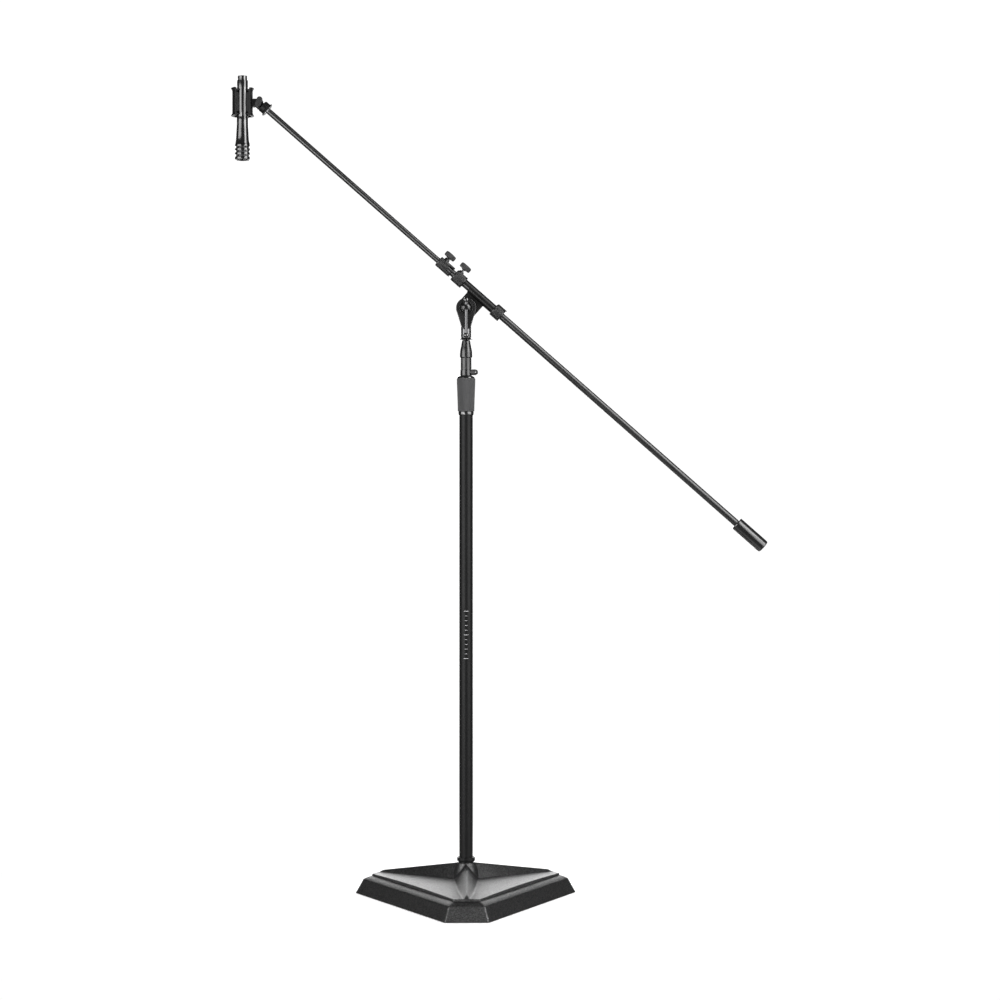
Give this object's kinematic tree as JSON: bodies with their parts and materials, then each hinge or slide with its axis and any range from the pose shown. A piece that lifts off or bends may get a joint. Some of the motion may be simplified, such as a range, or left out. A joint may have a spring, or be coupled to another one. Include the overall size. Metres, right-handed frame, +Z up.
{
  "type": "boom microphone stand",
  "caption": "Studio boom microphone stand: heavy three-cornered cast base, telescoping pole with twist grip, tilting counterweighted boom, clip and slim microphone.",
  "frame": {"origin": "on the floor, on the axis of the pole, at the lowest point of the rubber feet", "axes": "+Z up along the pole; the boom lies in the XZ plane with the counterweight towards +X and the microphone towards -X; one corner of the base points to -Y"},
  "size_m": [1.1367, 0.4128, 1.7451],
  "materials": {
    "cast_base": "powder-coated casting, fine grain",
    "powder_coat": "satin black powder coat",
    "satin_black": "satin black enamel on zinc",
    "matte_black": "matte black moulded plastic",
    "rubber": "black rubber",
    "chrome": "bright chrome plate",
    "steel": "turned steel",
    "gloss_black": "gloss black lacquer on steel",
    "gloss_plastic": "gloss black ball",
    "mic_black": "semi-gloss black lacquer"
  },
  "bodies": {
    "base": {"base_casting": "cast_base", "base_foot_front": "rubber", "base_foot_right": "rubber", "base_foot_left": "rubber", "base_washer": "steel", "base_bolt": "steel", "tube_plug": "steel", "base_collar": "matte_black", "lower_tube": "powder_coat", "clutch_body": "matte_black", "clutch_collet": "matte_black"},
    "grip": {"clutch_grip": "matte_black"},
    "mast": {"upper_tube": "powder_coat", "guide_bush": "matte_black", "top_plug": "steel", "lock_ring": "satin_black"},
    "lock_screw": {"lock_screw": "steel", "lock_screw_cap": "matte_black"},
    "mount": {"swivel_hub": "satin_black", "hub_flange": "chrome", "yoke": "chrome", "yoke_pin": "steel", "cheek_front": "satin_black", "cheek_rear": "satin_black", "pivot_bolt": "steel", "pivot_washer": "steel"},
    "tbar_hub": {"tbar_hub": "satin_black"},
    "tbar": {"tbar_rod": "chrome", "tbar_ball_upper": "gloss_plastic", "tbar_ball_lower": "gloss_plastic"},
    "head": {"boom_head": "satin_black", "friction_disc_front": "rubber", "friction_disc_rear": "rubber", "front_collar": "matte_black", "rear_collar": "matte_black"},
    "boom_knob": {"boom_knob": "matte_black", "boom_knob_screw": "steel"},
    "boom_outer": {"boom_outer_tube": "powder_coat", "extension_collar": "matte_black"},
    "extension_knob": {"extension_knob": "matte_black", "extension_knob_screw": "steel"},
    "counterweight": {"counterweight": "gloss_black"},
    "boom_inner": {"boom_inner_tube": "powder_coat", "inner_tube_plug": "matte_black", "tip_stud": "steel"},
    "lock_disc": {"lock_disc": "matte_black"},
    "clip_base": {"clip_base": "matte_black", "clip_tongue": "chrome"},
    "wing_knob": {"clip_wing_knob": "matte_black", "clip_hinge_screw": "steel"},
    "clip": {"clip_shell": "matte_black", "clip_liner": "rubber"},
    "microphone": {"mic_body": "mic_black", "mic_head": "mic_black", "mic_capsule": "steel", "mic_collar": "mic_black", "mic_insert": "matte_black"}
  },
  "joints": [
    {"name": "grip_twist", "type": "hinge", "parent": "base", "child": "grip", "pos_m": [0, 0, 1.075], "axis": [0, 0, 1], "range_deg": [0, 120]},
    {"name": "height", "type": "slide", "parent": "base", "child": "mast", "axis": [0, 0, 1], "range_m": [0, 0.6]},
    {"name": "lock_screw_turn", "type": "hinge", "parent": "mast", "child": "lock_screw", "pos_m": [0.01088, -0.00507, 1.1192], "axis": [0.9063, -0.4226, 0], "range_deg": [0, 270]},
    {"name": "boom_pan", "type": "hinge", "parent": "mast", "child": "mount", "pos_m": [0, 0, 1.15], "axis": [0, 0, 1], "continuous": true},
    {"name": "tbar_turn", "type": "hinge", "parent": "mount", "child": "tbar_hub", "pos_m": [0, -0.0115, 1.2555], "axis": [0, 1, 0], "range_deg": [0, 270]},
    {"name": "tbar_slide", "type": "slide", "parent": "tbar_hub", "child": "tbar", "axis": [0, 0, 1], "range_m": [0, 0.042]},
    {"name": "boom_tilt", "type": "hinge", "parent": "mount", "child": "head", "pos_m": [0, 0, 1.2555], "axis": [0, 1, 0], "range_deg": [-75, 38]},
    {"name": "boom_knob_turn", "type": "hinge", "parent": "head", "child": "boom_knob", "pos_m": [-0.01912, 0, 1.32101], "axis": [0.66, 0, 0.7513], "range_deg": [0, 270]},
    {"name": "boom_slide", "type": "slide", "parent": "head", "child": "boom_outer", "axis": [-0.7513, 0, 0.66], "range_m": [-0.005, 0.55]},
    {"name": "extension_knob_turn", "type": "hinge", "parent": "boom_outer", "child": "extension_knob", "pos_m": [-0.04924, 0, 1.34748], "axis": [0.66, 0, 0.7513], "range_deg": [0, 270]},
    {"name": "counterweight_turn", "type": "hinge", "parent": "boom_outer", "child": "counterweight", "pos_m": [0.57408, 0, 0.79988], "axis": [0.7513, 0, -0.66], "range_deg": [0, 270]},
    {"name": "boom_extend", "type": "slide", "parent": "boom_outer", "child": "boom_inner", "axis": [-0.7513, 0, 0.66], "range_m": [-0.4, 0.25]},
    {"name": "lock_disc_turn", "type": "hinge", "parent": "boom_inner", "child": "lock_disc", "pos_m": [-0.42059, 0, 1.67372], "axis": [0.7513, 0, -0.66], "range_deg": [0, 270]},
    {"name": "clip_base_turn", "type": "hinge", "parent": "boom_inner", "child": "clip_base", "pos_m": [-0.42285, 0, 1.6757], "axis": [0.7513, 0, -0.66], "range_deg": [-90, 90]},
    {"name": "clip_swivel", "type": "hinge", "parent": "clip_base", "child": "clip", "pos_m": [-0.43705, 0, 1.68817], "axis": [0, 1, 0], "range_deg": [-30, 90]},
    {"name": "wing_knob_turn", "type": "hinge", "parent": "clip_base", "child": "wing_knob", "pos_m": [-0.43705, 0, 1.68817], "axis": [0, 1, 0], "range_deg": [0, 270]},
    {"name": "mic_slide", "type": "slide", "parent": "clip", "child": "microphone", "axis": [0, 0, -1], "range_m": [0, 0.09]}
  ]
}
